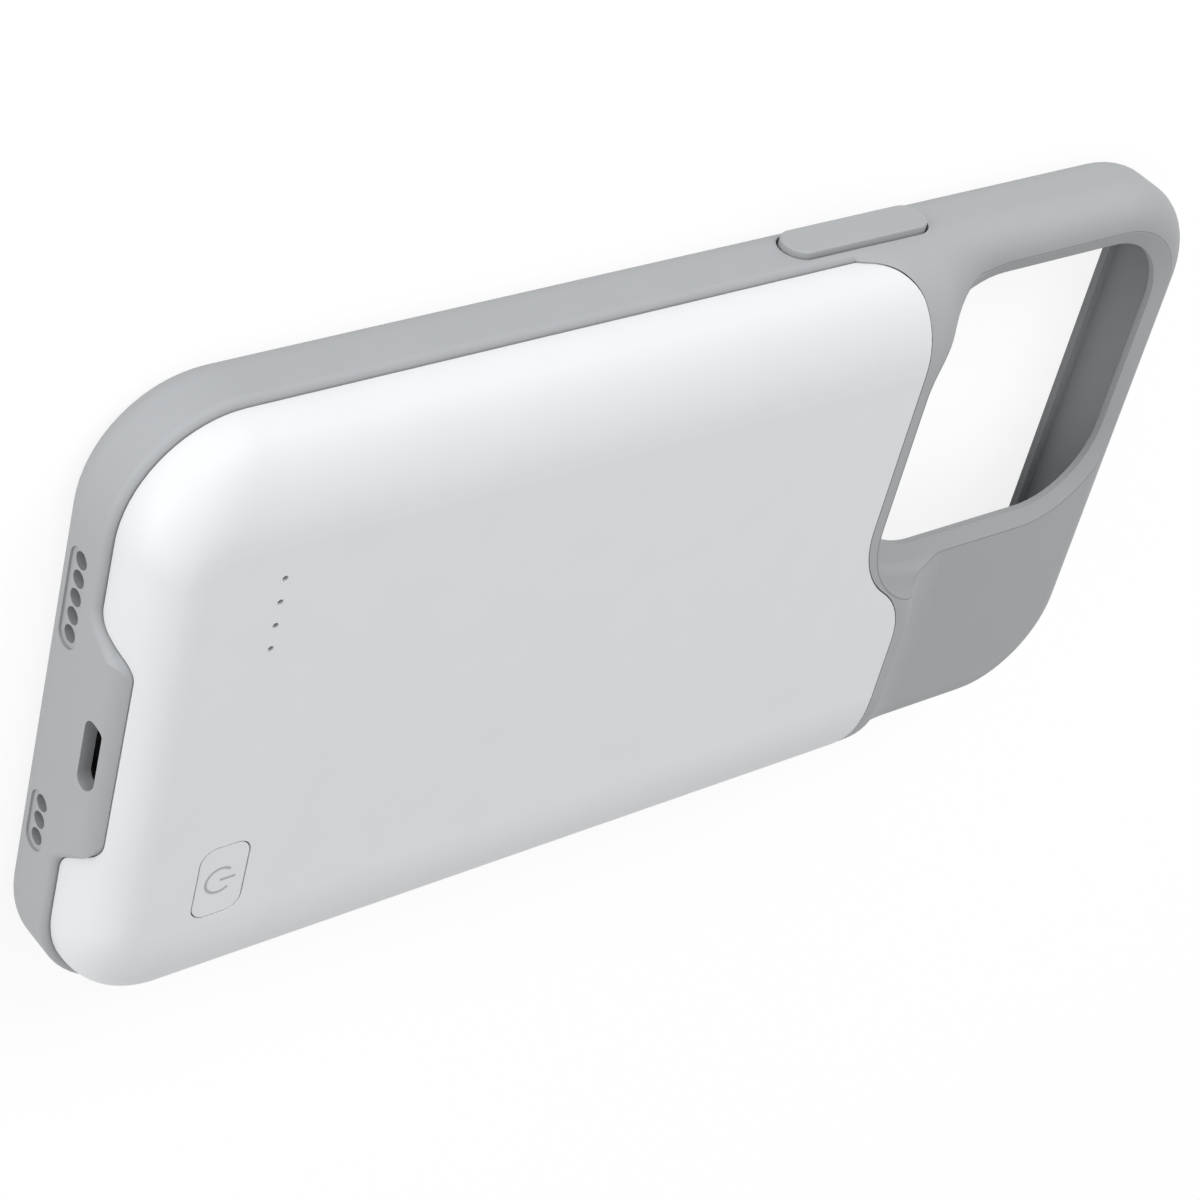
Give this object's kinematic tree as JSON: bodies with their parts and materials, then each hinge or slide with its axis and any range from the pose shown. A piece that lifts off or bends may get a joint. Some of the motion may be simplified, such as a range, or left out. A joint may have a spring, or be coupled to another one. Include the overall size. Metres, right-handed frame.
{
  "type": "phone battery charging case",
  "caption": "Soft grey phone case with a raised white battery back, camera opening, charging port, status lights, power button and sprung side keys.",
  "frame": {"origin": "middle of the front lip's plane, which the case rests on", "axes": "+X to the right in the back view, +Y towards the camera end, +Z out of the back"},
  "size_m": [0.0796, 0.1526, 0.0163],
  "materials": {
    "soft_grey": "matte soft-touch moulding",
    "white_shell": "satin",
    "white_button": "satin",
    "light_pipe": "milky clear",
    "port_metal": "plain drawn",
    "black_plastic": "matte",
    "switch_metal": "plain",
    "plate_plastic": "fine matte",
    "light_chip": "clear",
    "board": "satin",
    "chip": "matte",
    "ferrite": "matte",
    "capacitor": "matte",
    "flex": "satin",
    "cell_foil": "satin foil",
    "nickel": "plain",
    "wire_sleeve": "satin",
    "foam": "open foam"
  },
  "bodies": {
    "case": {"bumper_frame": "soft_grey", "battery_cover": "white_shell", "light_pipe": "light_pipe", "charge_socket_shell": "port_metal", "phone_plug_shell": "port_metal", "charge_socket_tongue": "black_plastic", "phone_plug_core": "black_plastic", "plug_block": "black_plastic", "tact_switch": "switch_metal", "inner_plate": "plate_plastic", "indicator_leds": "light_chip", "main_board": "board", "protection_board": "board", "charger_chip": "chip", "controller_chip": "chip", "power_inductor": "ferrite", "capacitors": "capacitor", "plug_flex": "flex", "battery_cell": "cell_foil", "cell_tabs": "nickel", "lead_wires": "wire_sleeve", "cell_pad": "foam"},
    "power_button": {"power_button": "white_button", "switch_plunger": "black_plastic"},
    "side_key": {"side_key": "soft_grey"},
    "volume_up_key": {"volume_up_key": "soft_grey"},
    "volume_down_key": {"volume_down_key": "soft_grey"}
  },
  "joints": [
    {"name": "power_button_press", "type": "slide", "parent": "case", "child": "power_button", "axis": [0, 0, -1], "range_m": [0, 0.00035], "stiffness_N_per_m": 1500},
    {"name": "side_key_press", "type": "slide", "parent": "case", "child": "side_key", "axis": [1, 0, 0], "range_m": [0, 0.0004], "stiffness_N_per_m": 1500},
    {"name": "volume_up_press", "type": "slide", "parent": "case", "child": "volume_up_key", "axis": [-1, 0, 0], "range_m": [0, 0.0004], "stiffness_N_per_m": 1500},
    {"name": "volume_down_press", "type": "slide", "parent": "case", "child": "volume_down_key", "axis": [-1, 0, 0], "range_m": [0, 0.0004], "stiffness_N_per_m": 1500}
  ]
}
